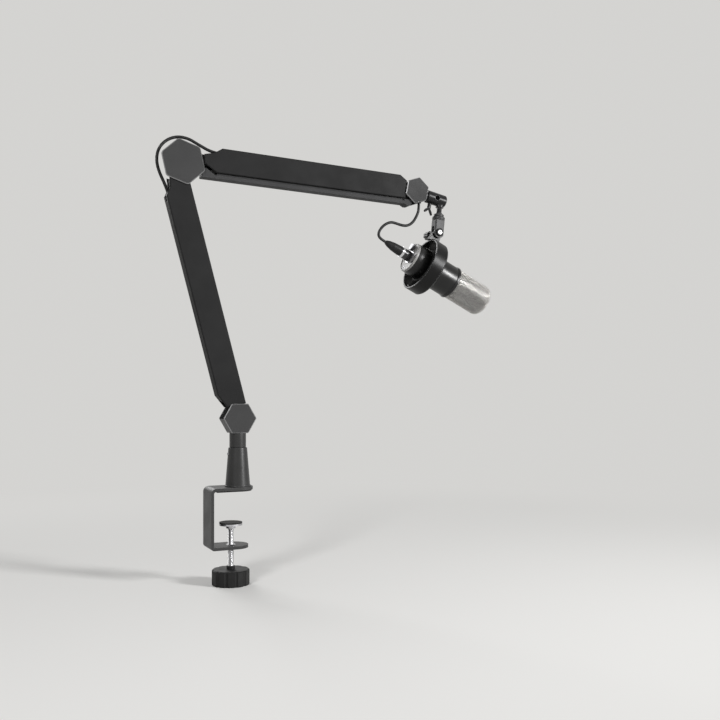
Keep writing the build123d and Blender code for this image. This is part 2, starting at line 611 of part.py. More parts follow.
nodes["thread_insert"] = on_stud(thread_insert())
nodes["clevis"] = on_stud(clevis())
nodes["tilt_bolt"] = at_tilt(
    rod_y(TILT_BOLT_RADIUS, -CLEVIS_FLAT - 1.6, 25) + rod_y(5.2, -CLEVIS_FLAT - 3.2, -CLEVIS_FLAT - 1.6)
)
nodes["tilt_washers"] = at_tilt(group(
    rod_y(7.2, -CLEVIS_FLAT - 1.6, -CLEVIS_FLAT) - rod_y(TILT_BOLT_RADIUS, -20, 20),
    rod_y(7.4, CLEVIS_FLAT, CLEVIS_FLAT + 1.6) - rod_y(TILT_BOLT_RADIUS, -20, 20),
))


def thumb_nut():
    """A slim hub and a scalloped head on the far side."""
    nut = rod_y(4.6, CLEVIS_FLAT + 1.7, 24) + rod_y(8.0, 24, 38)
    for i in range(8):
        angle = math.radians(45 * i)
        nut -= rod_y(2.0, 23, 39, x=9.0 * math.cos(angle), z=9.0 * math.sin(angle))
    return nut - rod_y(TILT_BOLT_RADIUS + RUNNING, 0, 25.6)


nodes["thumb_nut"] = at_tilt(thumb_nut())

# ---- microphone ---------------------------------------------------------------------------------

AXIS = Pos(0, 0, -MIC_DROP)  # the microphone's axis, in the frame of its tilt joint
SHELL = 2.0
BAND_START = BAND_X - 4.0
GRILLE_START = BAND_X + 1.0
GRILLE_WALL = 1.3
NOSE_RADIUS = 12.0
FACE = 3.0                   # thickness of the rear face plate
SOCKET_RADIUS = 12.0
GAIN_Z, LOW_Z = 18.8, -19.5  # the knob above the socket and the digital port below it, from the axis
JACK = (-18.0, -13.0)        # across the arm, and from the axis
JACK_RADIUS = 1.8


def on_axis(shape):
    return on_mic(AXIS * shape)


def mount_ring():
    """The ring with the tongue that hangs it from the clevis."""
    low, high = RING_CENTRE_X - RING_WIDTH / 2, RING_CENTRE_X + RING_WIDTH / 2
    hoop = turned_along_x([
        (low, RING_RADIUS - RING_WALL), (low, RING_RADIUS - 0.6), (low + 0.6, RING_RADIUS),
        (high - 2.5, RING_RADIUS),
        (high, RING_RADIUS - 2.0), (high, RING_RADIUS - RING_WALL - 1.6),
        (high - 1.8, RING_RADIUS - RING_WALL - 1.6),
        (high - 1.8, RING_RADIUS - RING_WALL),
    ])
    tongue = slab(
        Polygon((-8.0, 0), (8.0, 0), (9.5, -19), (-12.5, -19), align=None) + Circle(8.0),
        -CLEVIS_SLOT + 0.4, CLEVIS_SLOT - 0.4,
    )
    return AXIS * hoop + tongue - rod_y(TILT_BOLT_RADIUS + RUNNING, -20, 20)


def body_shell():
    return turned_along_x([
        (TAIL_X + FACE, BODY_RADIUS - SHELL), (TAIL_X + FACE, BODY_RADIUS - 1.2),
        (TAIL_X + 8, BODY_RADIUS - 0.4),
        (TAIL_X + 16, BODY_RADIUS), (BAND_START, BODY_RADIUS), (BAND_START, BODY_RADIUS - SHELL),
    ])


def rear_face():
    """The face plate with its bezel and the holes for what sits in it."""
    plate = turned_along_x([
        (TAIL_X, 0), (TAIL_X, BODY_RADIUS - 3.4), (TAIL_X - 1.0, BODY_RADIUS - 3.0),
        (TAIL_X - 1.0, BODY_RADIUS - 2.0),
        (TAIL_X, BODY_RADIUS - 1.2), (TAIL_X + FACE, BODY_RADIUS - 1.2), (TAIL_X + FACE, 0),
    ])
    plate -= rod_x(SOCKET_RADIUS, TAIL_X - 2, TAIL_X + 9)
    plate -= rod_x(3.2, TAIL_X - 2, TAIL_X + 9, z=GAIN_Z)
    plate -= rod_x(3.6, TAIL_X - 2, TAIL_X + 9, *JACK)
    plate -= block((TAIL_X - 2, TAIL_X + 9), (3.0, 12.4), (LOW_Z - 1.8, LOW_Z + 1.8))
    for y in (-20.0, 20.0):
        plate -= rod_x(1.6, TAIL_X - 2, TAIL_X + 9, y=y)
    return plate


def grille():
    """A cup of fine mesh with a rounded nose."""
    def cup(radius, corner, end):
        solid = rod_x(radius, GRILLE_START, end)
        return fillet(solid.faces().sort_by(Axis.X)[-1].edges(), corner)

    inner = cup(GRILLE_RADIUS - GRILLE_WALL, NOSE_RADIUS - GRILLE_WALL, NOSE_X - GRILLE_WALL)
    return cup(GRILLE_RADIUS, NOSE_RADIUS, NOSE_X) - inner


def grille_foam():
    """The foam cup inside the mesh."""
    def cup(radius, corner, end):
        solid = rod_x(radius, GRILLE_START + 3, end)
        return fillet(solid.faces().sort_by(Axis.X)[-1].edges(), corner)

    return cup(GRILLE_RADIUS - 1.6, 10.0, NOSE_X - 1.8) - cup(GRILLE_RADIUS - 6.6, 6.0, NOSE_X - 7.0)


CAPSULE_X = GRILLE_START + 38.0
CAPSULE_RADIUS = 12.7


def capsule_holder():
    """A stem on the front bulkhead, with a soft cup that holds the capsule's edge."""
    stem = turned_along_x([
        (GRILLE_START, 0), (GRILLE_START, 9), (GRILLE_START + 4, 7), (CAPSULE_X - 8, 7),
        (CAPSULE_X - 4, 15.5),
        (CAPSULE_X + 7, 15.5), (CAPSULE_X + 7, CAPSULE_RADIUS), (CAPSULE_X, CAPSULE_RADIUS), (CAPSULE_X, 0),
    ])
    return stem


def isolator(angle):
    """A waisted rubber post between the collar and the ring."""
    inner, outer = BODY_RADIUS + 2.2, RING_RADIUS - RING_WALL - 0.1
    middle = (inner + outer) / 2
    post = turned_part([
        (inner - 0.4, 0), (inner - 0.4, 6.0), (inner + 2, 6.0), (middle, 3.6), (outer - 2, 6.0),
        (outer, 6.0), (outer, 0),
    ])
    post = post - rod_x(BODY_RADIUS + 2.2, -20, 20)
    return Pos(RING_CENTRE_X, 0, 0) * Rot(angle, 0, 0) * (post & rod_x(outer, -20, 20))


def isolators():
    """The rubber collar on the body and its four posts."""
    collar = rod_x(BODY_RADIUS + 2.2, RING_CENTRE_X - 6.5, RING_CENTRE_X + 9) - rod_x(BODY_RADIUS, -80, 80)
    return group(collar, *[isolator(angle) for angle in (35, 145, 215, 325)])


def circuit_board():
    """The board and the two rails that it stands on."""
    board = block((TAIL_X + 22, BAND_START - 6), (-19, 19), (-6.8, -5.2))
    rails = [
        block((TAIL_X + 22, BAND_START - 6), y, (-8.8, -6.8)) & rod_x(BODY_RADIUS - SHELL, TAIL_X, BAND_X)
        for y in ((-40, -16), (16, 40))
    ]
    return group(board, *rails)


KNOB_END = TAIL_X - 7.0
SPINDLE_END = TAIL_X - 5.0


def gain_knob():
    """A ribbed metal knob."""
    knob = rod_x(6.4, KNOB_END, TAIL_X - 1.3)
    for i in range(16):
        angle = math.radians(22.5 * i)
        knob -= rod_x(0.7, KNOB_END - 1, TAIL_X - 2.2, y=6.7 * math.cos(angle), z=6.7 * math.sin(angle))
    return Pos(0, 0, GAIN_Z) * (knob - rod_x(2.0 + RUNNING, SPINDLE_END - 0.4, TAIL_X))


nodes["mount_ring"] = on_mic(mount_ring())
nodes["body_shell"] = on_axis(body_shell())
nodes["rear_face"] = on_axis(rear_face())
nodes["front_band"] = on_axis(turned_along_x([
    (BAND_START, BODY_RADIUS - SHELL), (BAND_START, BODY_RADIUS + 0.9), (BAND_START + 1, BODY_RADIUS + 1.4),
    (GRILLE_START - 1, BODY_RADIUS + 1.4), (GRILLE_START, BODY_RADIUS + 0.6), (GRILLE_START, 0),
    (GRILLE_START - 2.5, 0), (GRILLE_START - 2.5, BODY_RADIUS - SHELL),
]))
nodes["grille"] = on_axis(grille())
nodes["grille_foam"] = on_axis(grille_foam())
nodes["capsule_holder"] = on_axis(capsule_holder())
nodes["capsule"] = on_axis(
    rod_x(CAPSULE_RADIUS, CAPSULE_X, CAPSULE_X + 9) - rod_x(10.6, CAPSULE_X + 7.9, CAPSULE_X + 10),
)
nodes["circuit_board"] = on_axis(circuit_board())
nodes["isolators"] = on_axis(isolators())
nodes["xlr_socket"] = on_axis(
    rod_x(SOCKET_RADIUS, TAIL_X - 1.2, TAIL_X + 20) - rod_x(PLUG_RADIUS, TAIL_X - 3, TAIL_X + 16),
)
nodes["gain_pot"] = on_axis(Pos(0, 0, GAIN_Z) * (
    rod_x(5.5, TAIL_X + FACE, TAIL_X + 12) + rod_x(3.2, TAIL_X, TAIL_X + FACE) + rod_x(2.0, SPINDLE_END, TAIL_X)
))
nodes["headphone_jack"] = on_axis(Pos(0, *JACK) * (
    rod_x(3.6, TAIL_X - 0.8, TAIL_X + 16) - rod_x(JACK_RADIUS, TAIL_X - 2, TAIL_X + 14)
))
nodes["usb_socket"] = on_axis(
    block((TAIL_X - 0.4, TAIL_X + 8), (3.0, 12.4), (LOW_Z - 1.8, LOW_Z + 1.8))
    - block((TAIL_X - 2, TAIL_X + 7), (3.5, 11.9), (LOW_Z - 1.3, LOW_Z + 1.3))
)
nodes["rear_screws"] = on_axis(group(*[
    rod_x(1.6, TAIL_X - 0.2, TAIL_X + 9, y=y) + rod_x(2.6, TAIL_X - 1.4, TAIL_X, y=y) for y in (-20.0, 20.0)
]))
nodes["gain_knob"] = on_axis(gain_knob())

# ---- cable and its plugs ------------------------------------------------------------------------

BOOT_END = TAIL_X - PLUG_LENGTH
PLUG_RING = (TAIL_X - 21.0, TAIL_X - 16.5)
nodes["plug_shell"] = on_axis(rod_x(PLUG_RADIUS, PLUG_RING[1], TAIL_X + 14))
nodes["plug_ring"] = on_axis(rod_x(PLUG_RADIUS + 0.3, *PLUG_RING))
nodes["plug_boot"] = on_axis(turned_along_x([
    (PLUG_RING[0], 0), (PLUG_RING[0], 9.2), (PLUG_RING[0] - 3, 9.0), (PLUG_RING[0] - 18, 7.9),
    (PLUG_RING[0] - 28, 5.9),
    (BOOT_END + 2, 4.2), (BOOT_END, 3.6), (BOOT_END, 0),
]))


def row_points(points):
    """Points of the arm's plane, as (x, 0, z)."""
    return [(x, 0, z) for x, z in points]


def around_elbow(radius, angle):
    return ELBOW[0] + radius * math.cos(math.radians(angle)), ELBOW[1] + radius * math.sin(math.radians(angle))


boot_tip = turned(MIC_PIVOT, MIC_DIP, BOOT_END, -MIC_DROP)
past_boot = turned(MIC_PIVOT, MIC_DIP, BOOT_END - 10.6, -MIC_DROP)
hex_exit = turned(FRONT, HEAD_DIP, *CABLE_EXIT)
FREE_ROUTE = [
    boot_tip, past_boot, (260.5, 447.2), (260.9, 457.8), (266.9, 466.7), (277.5, 471.4), (289.9, 471.0),
    (303.0, 467.8),
    (316.7, 466.2), (328.9, 472.0), (337.2, 483.2), (hex_exit[0], 496.4), (hex_exit[0], hex_exit[1] + 3.0),
]
LOWER_RUN = [(130, 17.0), (170, 17.0), (330, 29.3), (370, 33.0)]
UPPER_RUN = [(72, 21.7), (372, 18.2), (398, 12.0)]
LOOP_ROUTE = [
    turned(BASE, LOWER_DIP, *LOWER_RUN[-1]), turned(BASE, LOWER_DIP, 390, 34.85), around_elbow(42.4, 203),
    around_elbow(42.6, 177), around_elbow(43.4, 152), around_elbow(43.0, 127), around_elbow(42.4, 102),
    around_elbow(41.4, 77), around_elbow(41.2, 52), turned(ELBOW, UPPER_DIP, 50, 21.96),
    turned(ELBOW, UPPER_DIP, *UPPER_RUN[0]),
]

nodes["mic_cable"] = tube(row_points(FREE_ROUTE), CABLE_RADIUS, "mic_cable")
nodes["elbow_cable"] = tube(row_points(LOOP_ROUTE), CABLE_RADIUS, "elbow_cable")
nodes["lower_cable"] = on_lower(tube(row_points(LOWER_RUN), CABLE_RADIUS, "lower_cable"))
nodes["upper_cable"] = on_upper(tube(row_points(UPPER_RUN), CABLE_RADIUS, "upper_cable"))
nodes["stowed_plug"] = on_lower(Pos(0, 0, 17.0) * turned_along_x([
    (64, 0), (64, 8.2), (112, 8.2), (118, 7.0), (130, 4.2), (130, 0),
]))

for name, shape in nodes.items():
    export_step(shape, f"parts/{name}.step")
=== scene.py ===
import json
import math

import bpy
from mathutils import Matrix, Vector


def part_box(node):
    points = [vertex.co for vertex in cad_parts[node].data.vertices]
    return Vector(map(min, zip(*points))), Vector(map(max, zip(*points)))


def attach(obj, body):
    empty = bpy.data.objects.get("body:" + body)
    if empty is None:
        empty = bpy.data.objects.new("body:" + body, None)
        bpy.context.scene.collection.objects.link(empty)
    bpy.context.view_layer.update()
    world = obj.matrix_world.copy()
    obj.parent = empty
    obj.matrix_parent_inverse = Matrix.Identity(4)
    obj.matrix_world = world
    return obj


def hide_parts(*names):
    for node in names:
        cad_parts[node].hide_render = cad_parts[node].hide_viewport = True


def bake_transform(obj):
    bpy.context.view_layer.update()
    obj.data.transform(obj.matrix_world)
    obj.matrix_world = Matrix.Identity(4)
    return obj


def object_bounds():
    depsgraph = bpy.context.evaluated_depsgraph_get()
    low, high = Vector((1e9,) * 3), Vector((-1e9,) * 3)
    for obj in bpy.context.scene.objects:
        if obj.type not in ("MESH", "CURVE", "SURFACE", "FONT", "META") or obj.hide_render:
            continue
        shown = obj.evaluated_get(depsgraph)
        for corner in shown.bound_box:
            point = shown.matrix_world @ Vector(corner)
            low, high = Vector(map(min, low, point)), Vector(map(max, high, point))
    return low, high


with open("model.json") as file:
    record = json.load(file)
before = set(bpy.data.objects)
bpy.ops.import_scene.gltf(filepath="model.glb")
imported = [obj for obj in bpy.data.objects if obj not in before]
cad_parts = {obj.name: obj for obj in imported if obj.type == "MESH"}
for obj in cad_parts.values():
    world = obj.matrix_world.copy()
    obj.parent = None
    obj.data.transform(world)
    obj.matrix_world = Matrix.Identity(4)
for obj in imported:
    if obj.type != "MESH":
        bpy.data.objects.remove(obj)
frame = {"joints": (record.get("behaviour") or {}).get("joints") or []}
cad_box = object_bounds()

# ---- camera, floor and light --------------------------------------------------------------------
# A low, level camera stands in front of the arm and to its left. The floor turns into the plain
# off-white backdrop further out. Two softboxes stand in front and a wider one behind, in a pale room.

FOCAL_LENGTH = 43.5
HORIZON_DROP = 1 / 24                   # of the horizon under the frame's middle, as a share of the frame
CAMERA_PLACE = Vector((-0.428, -1.400, 0.167))
CAMERA_TURN = -25.0
SENSOR_WIDTH = 36.0
BACKDROP = (0.66, 0.655, 0.64)
FLOOR_COLOUR = (0.86, 0.855, 0.84)
FLOOR_SIDE = 40
FLOOR_GAP = 0.0005
FADE_START, FADE_END = 0.30, 1.6        # of the floor into the backdrop, from the middle
ROOM_COLOUR = (1, 0.995, 0.985)
ROOM_STRENGTH = 0.19

camera_data = bpy.data.cameras.new("camera")
camera_data.lens = FOCAL_LENGTH
camera_data.sensor_width = SENSOR_WIDTH
camera_data.shift_y = HORIZON_DROP
camera = bpy.data.objects.new("camera", camera_data)
camera.location = CAMERA_PLACE
camera.rotation_euler = (math.radians(90), 0, math.radians(CAMERA_TURN))
bpy.context.scene.collection.objects.link(camera)
bpy.context.scene.camera = camera
bpy.context.scene.view_settings.view_transform = "Standard"


def clear_selection():
    """Operators act on everything selected, and the CAD nodes come in selected."""
    if bpy.context.mode != "OBJECT":
        bpy.ops.object.mode_set(mode="OBJECT")
    bpy.ops.object.select_all(action="DESELECT")


def seen_directly(tree):
    """1 for a ray from the camera, or one mirrored or let through on its way, and 0 for diffuse light."""
    path = tree.nodes.new("ShaderNodeLightPath")
    mirrored = tree.nodes.new("ShaderNodeMath")
    mirrored.operation = "MAXIMUM"
    tree.links.new(path.outputs["Is Glossy Ray"], mirrored.inputs[0])
    tree.links.new(path.outputs["Is Transmission Ray"], mirrored.inputs[1])
    seen = tree.nodes.new("ShaderNodeMath")
    seen.operation = "MAXIMUM"
    tree.links.new(path.outputs["Is Camera Ray"], seen.inputs[0])
    tree.links.new(mirrored.outputs[0], seen.inputs[1])
    return seen.outputs[0]


def lit_by_room(room, strength):
    """The room's light, with a plain backdrop where the camera or a reflection sees past the object."""
    room.use_nodes = True
    tree = room.node_tree
    tree.nodes.clear()
    light = tree.nodes.new("ShaderNodeBackground")
    light.inputs["Color"].default_value = (*ROOM_COLOUR, 1)
    light.inputs["Strength"].default_value = strength
    backdrop = tree.nodes.new("ShaderNodeBackground")
    backdrop.inputs["Color"].default_value = (*BACKDROP, 1)
    choice = tree.nodes.new("ShaderNodeMixShader")
    output = tree.nodes.new("ShaderNodeOutputWorld")
    tree.links.new(seen_directly(tree), choice.inputs["Fac"])
    tree.links.new(light.outputs["Background"], choice.inputs[1])
    tree.links.new(backdrop.outputs["Background"], choice.inputs[2])
    tree.links.new(choice.outputs["Shader"], output.inputs["Surface"])


def floor_finish(name, near, far):
    """Matt floor round the object, which turns into the backdrop's own colour further out."""
    material = bpy.data.materials.new(name)
    material.use_nodes = True
    nodes, links = material.node_tree.nodes, material.node_tree.links
    matt = nodes["Principled BSDF"]
    matt.inputs["Base Color"].default_value = (*FLOOR_COLOUR, 1)
    matt.inputs["Roughness"].default_value = 1.0
    matt.inputs["Specular IOR Level"].default_value = 0.0
    place = nodes.new("ShaderNodeTexCoord")
    distance = nodes.new("ShaderNodeVectorMath")
    distance.operation = "LENGTH"
    fade = nodes.new("ShaderNodeMapRange")
    fade.interpolation_type = "SMOOTHSTEP"
    fade.inputs["From Min"].default_value = near
    fade.inputs["From Max"].default_value = far
    outer = nodes.new("ShaderNodeMath")
    outer.operation = "MULTIPLY"
    backdrop = nodes.new("ShaderNodeEmission")
    backdrop.inputs["Color"].default_value = (*BACKDROP, 1)
    mix = nodes.new("ShaderNodeMixShader")
    links.new(place.outputs["Object"], distance.inputs[0])
    links.new(distance.outputs["Value"], fade.inputs["Value"])
    links.new(fade.outputs["Result"], outer.inputs[0])
    links.new(seen_directly(material.node_tree), outer.inputs[1])
    links.new(outer.outputs[0], mix.inputs["Fac"])
    links.new(matt.outputs["BSDF"], mix.inputs[1])
    links.new(backdrop.outputs["Emission"], mix.inputs[2])
    links.new(mix.outputs["Shader"], nodes["Material Output"].inputs["Surface"])
    return material


def softbox(name, place, aim, width, height, power):
    """A flat lamp that points at a place on the object."""
    data = bpy.data.lights.new(name, "AREA")
    data.shape = "RECTANGLE"
    data.size = width
    data.size_y = height
    data.energy = power
    lamp = bpy.data.objects.new(name, data)
    lamp.location = place
    lamp.rotation_mode = "QUATERNION"
    lamp.rotation_quaternion = (Vector(aim) - Vector(place)).to_track_quat("-Z", "Y")
    bpy.context.scene.collection.objects.link(lamp)


world = bpy.data.worlds.new("room")
bpy.context.scene.world = world
lit_by_room(world, ROOM_STRENGTH)
softbox("key_light", place=(1.94, -2.23, 0.85), aim=(0.26, 0, 0.36), width=0.5, height=0.5, power=84)
softbox("side_light", place=(-1.6, -1.7, 1.5), aim=(0.05, 0, 0.25), width=0.5, height=1.1, power=26)
softbox("rear_light", place=(-0.3, 2.5, 1.5), aim=(0.15, 0, 0.3), width=1.5, height=1.5, power=30)

clear_selection()
bpy.ops.mesh.primitive_plane_add(size=FLOOR_SIDE, location=(0, 0, cad_box[0].z - FLOOR_GAP))
floor = bpy.context.object
floor.name = "floor"
floor.data.materials.append(floor_finish("floor_paint", FADE_START, FADE_END))

# ---- cable --------------------------------------------------------------------------------------
# One 5 mm cable with a limp rubber jacket. It leaves the plug, loops up into the front hexagon, runs
# hidden in the upper cover, bows round the elbow in the open, and lies in the lower cover.

CABLE_DIAMETER = 0.005


def plain_finish(name, colour, roughness, metallic=0.0, gloss=0.5):
    """A new material, with its values on the shader's own sockets."""
    material = bpy.data.materials.new(name)
    material.use_nodes = True
    shader = material.node_tree.nodes["Principled BSDF"]
    shader.inputs["Base Color"].default_value = (*colour, 1)
    shader.inputs["Roughness"].default_value = roughness
    shader.inputs["Metallic"].default_value = metallic
    shader.inputs["Specular IOR Level"].default_value = gloss
    return material


def noise_on(material, scale, detail=3.0, stretch=(1, 1, 1)):
    """Noise in the piece's own coordinates, stretched along an axis where the grain runs."""
    nodes, links = material.node_tree.nodes, material.node_tree.links
    place = nodes.new("ShaderNodeTexCoord")
    mapping = nodes.new("ShaderNodeMapping")
    mapping.inputs["Scale"].default_value = stretch
    noise = nodes.new("ShaderNodeTexNoise")
    noise.inputs["Scale"].default_value = scale
    noise.inputs["Detail"].default_value = detail
    links.new(place.outputs["Object"], mapping.inputs["Vector"])
    links.new(mapping.outputs["Vector"], noise.inputs["Vector"])
    return noise


def add_bump(material, height, strength, depth):
    """Relief of a real depth in metres."""
    nodes, links = material.node_tree.nodes, material.node_tree.links
    bump = nodes.new("ShaderNodeBump")
    bump.inputs["Strength"].default_value = strength
    bump.inputs["Distance"].default_value = depth
    links.new(height, bump.inputs["Height"])
    links.new(bump.outputs["Normal"], nodes["Principled BSDF"].inputs["Normal"])


def vary_colour(material, noise, dark, light):
    """The colour drifts between two near shades."""
    nodes, links = material.node_tree.nodes, material.node_tree.links
    ramp = nodes.new("ShaderNodeValToRGB")
    ramp.color_ramp.elements[0].position = 0.35
    ramp.color_ramp.elements[0].color = (*dark, 1)
    ramp.color_ramp.elements[1].position = 0.65
    ramp.color_ramp.elements[1].color = (*light, 1)
    links.new(noise.outputs["Fac"], ramp.inputs["Fac"])
    links.new(ramp.outputs["Color"], nodes["Principled BSDF"].inputs["Base Color"])


def vary_gloss(material, noise, low, high):
    """Handled and dusty patches: the roughness drifts between two values."""
    nodes, links = material.node_tree.nodes, material.node_tree.links
    spread = nodes.new("ShaderNodeMapRange")
    spread.inputs["From Min"].default_value = 0.3
    spread.inputs["From Max"].default_value = 0.7
    spread.inputs["To Min"].default_value = low
    spread.inputs["To Max"].default_value = high
    links.new(noise.outputs["Fac"], spread.inputs["Value"])
    links.new(spread.outputs["Result"], nodes["Principled BSDF"].inputs["Roughness"])


def shaded(colour, factor):
    return tuple(channel * factor for channel in colour)


def jacket_finish(name, colour):
    """Matt cable rubber with faint drag marks."""
    material = plain_finish(name, colour, 0.5, gloss=0.25)
    vary_colour(material, noise_on(material, 60), shaded(colour, 0.75), shaded(colour, 1.35))
    vary_gloss(material, noise_on(material, 150), 0.42, 0.6)
    add_bump(material, noise_on(material, 900).outputs["Fac"], 0.25, 0.0001)
    return material


cable_jacket = jacket_finish("cable_jacket", (0.012, 0.012, 0.012))


def dress(material, *nodes):
    """Gives CAD nodes, or pieces by name, their finish."""
    for name in nodes:
        piece = bpy.data.objects[name]
        if not piece.material_slots:
            piece.data.materials.append(material)
        for place in piece.material_slots:
            place.material = material


def work_on(piece):
    """Only this piece is selected and active, for the next operator."""
    clear_selection()
    piece.select_set(True)
    bpy.context.view_layer.objects.active = piece


def smooth_line(name, points):
    """The cable's own line: an open NURBS spline with these control points, in the arm's plane."""
    curve = bpy.data.curves.new(name, "CURVE")
    curve.dimensions = "3D"
    curve.resolution_u = 10
    spline = curve.splines.new("NURBS")
    spline.points.add(len(points) - 1)
    for point, (x, z) in zip(spline.points, points):
        point.co = (x, 0, z, 1)
    spline.order_u = 3
    spline.use_endpoint_u = True
    return curve


def cable_piece(name, points):
    """A round mesh tube on the line, and the points that it follows."""
    curve = smooth_line(name, points)
    guide = bpy.data.objects.new(name + "_line", curve)
    bpy.context.scene.collection.objects.link(guide)
    line = bpy.data.meshes.new_from_object(guide)
    path = [vertex.co.copy() for vertex in line.vertices]
    curve.bevel_depth = CABLE_DIAMETER / 2
    curve.bevel_resolution = 5
    curve.use_fill_caps = True
    tube = bpy.data.objects.new(name, bpy.data.meshes.new_from_object(guide))
    bpy.context.scene.collection.objects.link(tube)
    bpy.data.objects.remove(guide)
    work_on(tube)
    bpy.ops.object.shade_smooth()
    dress(cable_jacket, name)
    return tube, path


PLUG_END = (0.27547, 0.43350)
MIDDLE = (0.3030, 0.4673)
FRONT_EXIT = (0.34386, 0.51370)
plug_half, plug_path = cable_piece("mic_cable_at_plug", [
    PLUG_END, (0.2662, 0.4380), (0.2612, 0.4438), (0.2624, 0.4516), (0.2685, 0.4600), (0.2766, 0.4664),
    (0.2865, 0.4702), (0.2950, 0.4691), MIDDLE,
])
front_half, front_path = cable_piece("mic_cable_at_arm", [
    MIDDLE, (0.3104, 0.46564), (0.3212, 0.4665), (0.3315, 0.4733), (0.3394, 0.4858), (0.34386, 0.4972),
    FRONT_EXIT,
])
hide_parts("mic_cable")
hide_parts("mic_cable")
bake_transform(front_half)
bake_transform(plug_half)

LOWER_MOUTH = (-0.1127, 0.4739)
UPPER_MOUTH = (-0.0203, 0.5563)
elbow_loop, elbow_path = cable_piece("elbow_loop", [
    LOWER_MOUTH, (-0.1188, 0.4930), (-0.1317, 0.5191), (-0.1352, 0.5379), (-0.1310, 0.5561),
    (-0.1185, 0.5700), (-0.1015, 0.5772), (-0.0833, 0.5760), (-0.0673, 0.5682), (-0.0423, 0.5569),
    UPPER_MOUTH,
])
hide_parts("elbow_cable")
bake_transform(elbow_loop)
dress(cable_jacket, "lower_cable", "upper_cable")

# ---- desk clamp and post ------------------------------------------------------------------------
# A bent steel bar and a turned tower, powder coated dark grey. Rubber faces touch the desk, and a
# rolled steel screw with a moulded hand knob presses the lower pad up.

EDGE_WEAR_AND_HIGHLIGHT = (0.35, 0.35, 0.36)         # painted on every edge: partly rubbed-off coat, partly a painted highlight line
MERGE = 0.00001
THREAD_STEPS = 28                       # faces in one turn of a thread
JOINTS = {joint["name"]: joint for joint in frame["joints"]}


def joint_place(name):
    return Vector(JOINTS[name]["pos_m"])


def add_edge_wear_and_highlight(material, radius, shine):
    """Rounds what the light sees of each edge, and paints the coat brighter there: partly rubbed wear,
    partly a painted highlight along the edge.
    """
    nodes, links = material.node_tree.nodes, material.node_tree.links
    rounded = nodes.new("ShaderNodeBevel")
    rounded.samples = 6
    rounded.inputs["Radius"].default_value = radius
    for node in nodes:
        if node.bl_idname == "ShaderNodeBump":
            links.new(rounded.outputs["Normal"], node.inputs["Normal"])
    place = nodes.new("ShaderNodeNewGeometry")
    turn = nodes.new("ShaderNodeVectorMath")
    turn.operation = "DOT_PRODUCT"
    links.new(rounded.outputs["Normal"], turn.inputs[0])
    links.new(place.outputs["True Normal"], turn.inputs[1])
    edge = nodes.new("ShaderNodeMapRange")
    edge.inputs["From Min"].default_value = 0.97
    edge.inputs["From Max"].default_value = 0.75
    edge.inputs["To Min"].default_value = 0.0
    edge.inputs["To Max"].default_value = shine
    links.new(turn.outputs["Value"], edge.inputs["Value"])
    shader = nodes["Principled BSDF"]
    coat = shader.inputs["Base Color"].links[0].from_socket
    # the pale edge colour is partly rubbed wear, partly a painted highlight line
    mix = nodes.new("ShaderNodeMix")
    mix.data_type = "RGBA"
    mix.inputs["B"].default_value = (*EDGE_WEAR_AND_HIGHLIGHT, 1)
    links.new(edge.outputs["Result"], mix.inputs["Factor"])
    links.new(coat, mix.inputs["A"])
    links.new(mix.outputs["Result"], shader.inputs["Base Color"])


def powder_coat(name, colour, roughness=0.6, gloss=0.14, shine=0.35, edge=0.0007):
    """Baked powder paint: fine orange peel, slow drift in shade and gloss, edges painted brighter, as a
    little rubbed wear and a painted highlight.
    """
    material = plain_finish(name, colour, roughness, gloss=gloss)
    vary_colour(material, noise_on(material, 9), shaded(colour, 0.9), shaded(colour, 1.12))
    vary_gloss(material, noise_on(material, 35), roughness - 0.05, roughness + 0.07)
    add_bump(material, noise_on(material, 1600, 2.0).outputs["Fac"], 0.35, 0.00006)
    add_edge_wear_and_highlight(material, edge, shine)
    return material


def moulded_rubber(name, colour, roughness=0.75):
    """Matt rubber, slightly dusty."""
    material = plain_finish(name, colour, roughness, gloss=0.2)
    vary_colour(material, noise_on(material, 80), shaded(colour, 0.7), shaded(colour, 1.5))
    add_bump(material, noise_on(material, 1200).outputs["Fac"], 0.4, 0.0001)
    return material


def plated_steel(name, colour, roughness, dull=None, bright=None, grain=60, detail=3.0):
    """Bright plating with fine turning marks. Its shade drifts from dull to bright at the grain's scale."""
    material = plain_finish(name, colour, roughness, 1.0)
    dull, bright = dull or shaded(colour, 0.88), bright or shaded(colour, 1.08)
    vary_colour(material, noise_on(material, grain, detail), dull, bright)
    vary_gloss(material, noise_on(material, 220), roughness - 0.03, roughness + 0.08)
    add_bump(material, noise_on(material, 700, 2.0, (1, 1, 6)).outputs["Fac"], 0.12, 0.00005)
    return material


def settle(piece, place):
    """Moves a finished piece to its place and puts the place into its mesh."""
    work_on(piece)
    piece.matrix_world = place
    bpy.ops.object.transform_apply(location=True, rotation=True, scale=True)


def finish_modifiers(piece):
    """Applies every modifier of a piece in turn."""
    work_on(piece)
    for modifier in list(piece.modifiers):
        bpy.ops.object.modifier_apply(modifier=modifier.name)


def screw_up(piece, pitch, turns, steps):
    """Screws a profile up the Z axis, turn after turn, and closes its ends."""
    screw = piece.modifiers.new("screw", "SCREW")
    screw.axis = "Z"
    screw.angle = math.radians(360)
    screw.screw_offset = pitch
    screw.iterations = turns
    screw.steps = steps
    screw.render_steps = steps
    finish_modifiers(piece)
    close_and_face_out(piece)


def close_and_face_out(piece):
    """Merges doubles, fills open ends and turns every face outwards."""
    work_on(piece)
    bpy.ops.object.mode_set(mode="EDIT")
    bpy.ops.mesh.select_all(action="SELECT")
    bpy.ops.mesh.remove_doubles(threshold=MERGE)
    bpy.ops.mesh.fill_holes(sides=0)
    bpy.ops.mesh.normals_make_consistent(inside=False)
    bpy.ops.object.mode_set(mode="OBJECT")


